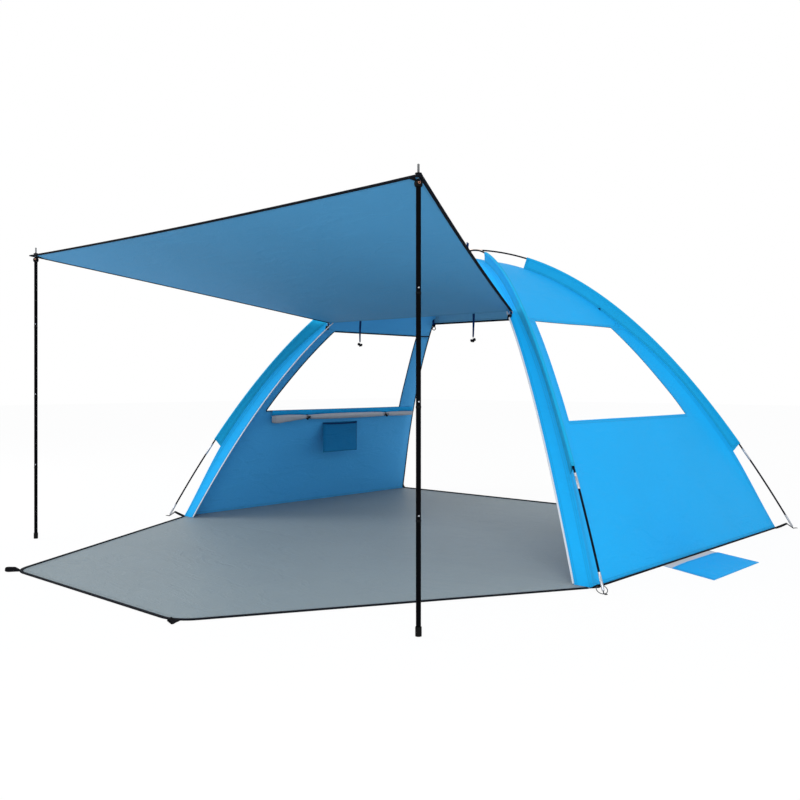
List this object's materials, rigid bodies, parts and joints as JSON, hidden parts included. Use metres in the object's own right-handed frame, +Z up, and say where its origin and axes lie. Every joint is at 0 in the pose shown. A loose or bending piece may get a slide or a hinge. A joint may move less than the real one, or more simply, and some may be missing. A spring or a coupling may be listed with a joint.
{
  "type": "beach tent",
  "caption": "Open-fronted beach shelter of taut cloth over crossed bent poles, with an awning on upright poles, a fold-down door mat, side windows and sand pockets.",
  "frame": {"origin": "middle of the floor's underside, on the ground", "axes": "+Z up, -Y out of the door opening, +X to the tent's right seen from the front"},
  "size_m": [3.6206, 3.7148, 1.7428],
  "materials": {
    "blue_cloth": "taut light blue coated polyester, fine plain weave",
    "sleeve_cloth": "doubled blue polyester, fine plain weave",
    "awning_cloth": "blue polyester with a coated grey-blue underside",
    "pocket_cloth": "dark blue polyester",
    "ground_sheet": "grey woven ground sheet, slightly glossy",
    "cover_lining": "silver-coated lining cloth",
    "black_webbing": "woven black webbing",
    "fibreglass": "black glass-fibre rod, satin",
    "steel": "plated steel, satin",
    "black_tube": "black painted steel tube, semi-gloss",
    "black_rubber": "matt moulded rubber",
    "toggle_plastic": "matt moulded plastic"
  },
  "bodies": {
    "tent": {"floor_sheet": "ground_sheet", "right_wall": "blue_cloth", "left_wall": "blue_cloth", "front_roof": "blue_cloth", "rear_roof": "blue_cloth", "front_strip_right": "blue_cloth", "front_strip_left": "blue_cloth", "pole_sleeve_front_right": "sleeve_cloth", "pole_sleeve_front_left": "sleeve_cloth", "pole_sleeve_rear_right": "sleeve_cloth", "pole_sleeve_rear_left": "sleeve_cloth", "wall_pocket": "pocket_cloth", "apex_tie": "pocket_cloth", "window_roll_right": "cover_lining", "window_roll_left": "cover_lining", "corner_webbing_front_right": "black_webbing", "corner_webbing_front_left": "black_webbing", "corner_webbing_rear_right": "black_webbing", "corner_webbing_rear_left": "black_webbing", "roof_tie_right": "black_webbing", "roof_tie_left": "black_webbing", "tie_toggle_right": "toggle_plastic", "tie_toggle_left": "toggle_plastic", "ring_pin_front_right": "steel", "ring_pin_front_left": "steel", "ring_pin_rear_right": "steel", "ring_pin_rear_left": "steel", "pole_tip_front_right": "steel", "pole_tip_front_left": "steel", "pole_tip_rear_right": "steel", "pole_tip_rear_left": "steel", "pole_ferrule_front_right": "steel", "pole_ferrule_front_left": "steel", "pole_ferrule_rear_right": "steel", "pole_ferrule_rear_left": "steel", "apex_ferrule": "steel", "lower_rod_front_right": "fibreglass", "lower_rod_front_left": "fibreglass", "lower_rod_rear_right": "fibreglass", "lower_rod_rear_left": "fibreglass", "upper_rod_over": "fibreglass", "upper_rod_under": "fibreglass"},
    "door_mat": {"door_mat": "ground_sheet"},
    "stake_loop_right": {"stake_loop_right": "black_webbing"},
    "stake_loop_left": {"stake_loop_left": "black_webbing"},
    "sand_pocket_right": {"sand_pocket_right": "blue_cloth"},
    "sand_pocket_left": {"sand_pocket_left": "blue_cloth"},
    "awning": {"awning_sheet": "awning_cloth"},
    "awning_pole_right": {"awning_pole_right_section_1": "black_tube", "awning_pole_right_section_2": "black_tube", "awning_pole_right_section_3": "black_tube", "awning_pole_right_section_4": "black_tube", "awning_pole_right_spike": "steel", "awning_pole_right_foot": "black_rubber"},
    "awning_pole_left": {"awning_pole_left_section_1": "black_tube", "awning_pole_left_section_2": "black_tube", "awning_pole_left_section_3": "black_tube", "awning_pole_left_section_4": "black_tube", "awning_pole_left_spike": "steel", "awning_pole_left_foot": "black_rubber"}
  },
  "joints": [
    {"name": "door_mat_fold", "type": "hinge", "parent": "tent", "child": "door_mat", "pos_m": [0, -1.0553, 0.002], "axis": [-1, 0, 0], "range_deg": [0, 65]},
    {"name": "stake_loop_right_fold", "type": "hinge", "parent": "door_mat", "child": "stake_loop_right", "pos_m": [0.62876, -2.51595, 0.0018], "axis": [-0.8647, -0.5023, 0], "range_deg": [0, 80]},
    {"name": "stake_loop_left_fold", "type": "hinge", "parent": "door_mat", "child": "stake_loop_left", "pos_m": [-0.62876, -2.51595, 0.0018], "axis": [-0.8647, 0.5023, 0], "range_deg": [0, 80]},
    {"name": "sand_pocket_right_flip", "type": "hinge", "parent": "tent", "child": "sand_pocket_right", "pos_m": [1.5003, 0, 0.002], "axis": [0, -1, 0], "range_deg": [0, 85]},
    {"name": "sand_pocket_left_flip", "type": "hinge", "parent": "tent", "child": "sand_pocket_left", "pos_m": [-1.5003, 0, 0.002], "axis": [0, 1, 0], "range_deg": [0, 85]},
    {"name": "awning_lift", "type": "hinge", "parent": "tent", "child": "awning", "pos_m": [0, -0.51436, 1.245], "axis": [-1, 0, 0], "range_deg": [0, 30]},
    {"name": "awning_pole_right_swing", "type": "hinge", "parent": "awning", "child": "awning_pole_right", "pos_m": [1.4165, -2.078, 1.571], "axis": [-1, 0, 0], "range_deg": [-15, 15]},
    {"name": "awning_pole_left_swing", "type": "hinge", "parent": "awning", "child": "awning_pole_left", "pos_m": [-1.4165, -2.078, 1.571], "axis": [-1, 0, 0], "range_deg": [-15, 15]}
  ]
}
